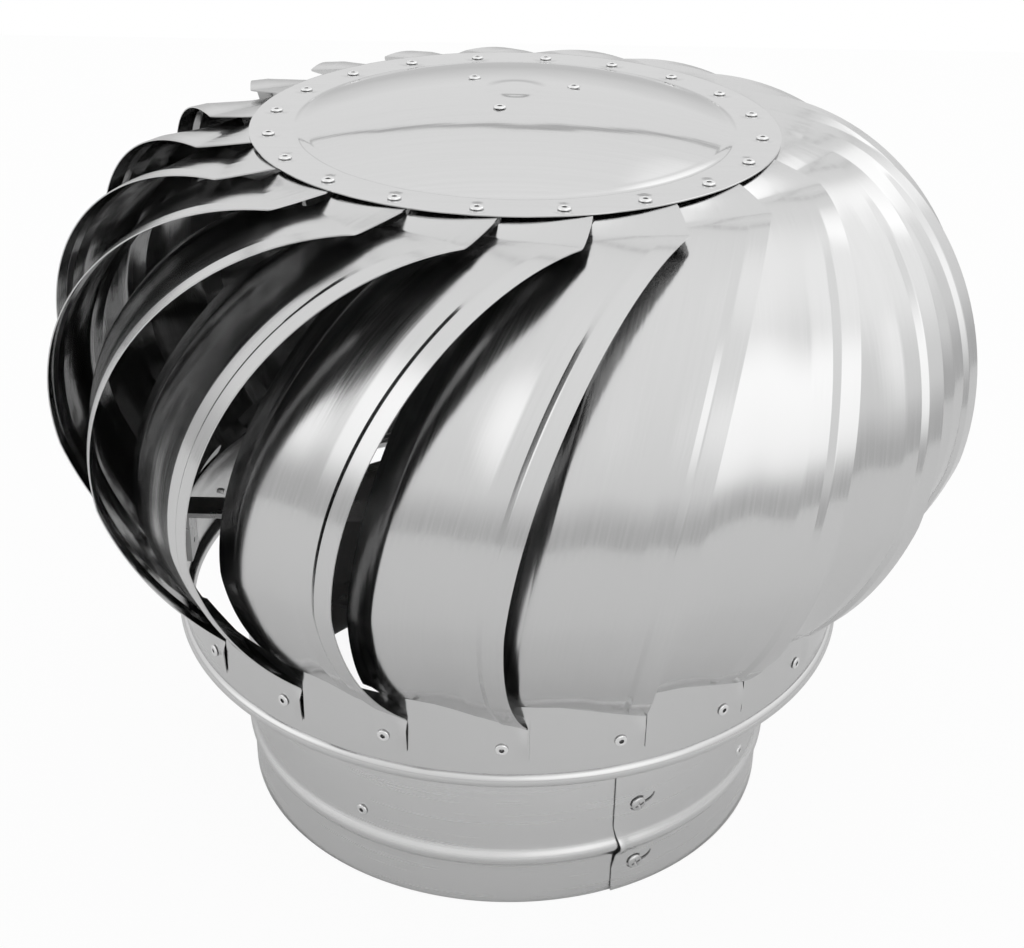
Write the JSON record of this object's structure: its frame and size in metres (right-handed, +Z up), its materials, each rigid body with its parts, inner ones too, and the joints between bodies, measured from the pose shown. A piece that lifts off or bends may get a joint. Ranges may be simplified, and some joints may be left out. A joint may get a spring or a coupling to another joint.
{
  "type": "roof turbine ventilator",
  "caption": "Ball-shaped rotor of rolled sheet-metal louvre blades, spinning on a fixed shaft above a round duct collar, so that wind draws air out of a roof duct.",
  "frame": {"origin": "centre of the collar's lower edge, on the spin axis", "axes": "+Z up along the spin axis, -Y towards the front, where the blade edge of blade_01 stands"},
  "size_m": [0.486, 0.486, 0.3996],
  "materials": {
    "blade_sheet": "bright rolled stainless sheet",
    "cap_sheet": "mirror-bright pressed stainless sheet",
    "collar_sheet": "satin stainless sheet",
    "ring_sheet": "satin stainless sheet",
    "rivet_aluminium": "plain",
    "plated_fastener": "zinc plated",
    "frame_steel": "satin",
    "shaft_steel": "ground",
    "bearing_steel": "ground",
    "seal_rubber": "moulded"
  },
  "bodies": {
    "base": {"neck_collar": "collar_sheet", "seam_screws": "plated_fastener", "cross_bracket": "frame_steel", "bracket_rivets": "rivet_aluminium", "shaft": "shaft_steel", "shaft_nuts": "plated_fastener", "shaft_collars": "plated_fastener", "bearing_inner_races": "bearing_steel"},
    "rotor": {"bearing_outer_races": "bearing_steel", "bearing_seals": "seal_rubber", "upper_bearing_housing": "frame_steel", "lower_bearing_housing": "frame_steel", "rotor_spider": "frame_steel", "lower_ring": "ring_sheet", "ring_rivets": "rivet_aluminium", "cap": "cap_sheet", "cap_rivets": "rivet_aluminium", "hub_rivets": "rivet_aluminium", "blade_01": "blade_sheet", "blade_02": "blade_sheet", "blade_03": "blade_sheet", "blade_04": "blade_sheet", "blade_05": "blade_sheet", "blade_06": "blade_sheet", "blade_07": "blade_sheet", "blade_08": "blade_sheet", "blade_09": "blade_sheet", "blade_10": "blade_sheet", "blade_11": "blade_sheet", "blade_12": "blade_sheet", "blade_13": "blade_sheet", "blade_14": "blade_sheet", "blade_15": "blade_sheet", "blade_16": "blade_sheet", "blade_17": "blade_sheet", "blade_18": "blade_sheet", "blade_19": "blade_sheet", "blade_20": "blade_sheet"}
  },
  "joints": [
    {"name": "rotor_spin", "type": "hinge", "parent": "base", "child": "rotor", "pos_m": [0, 0, 0.366], "axis": [0, 0, 1], "continuous": true}
  ]
}
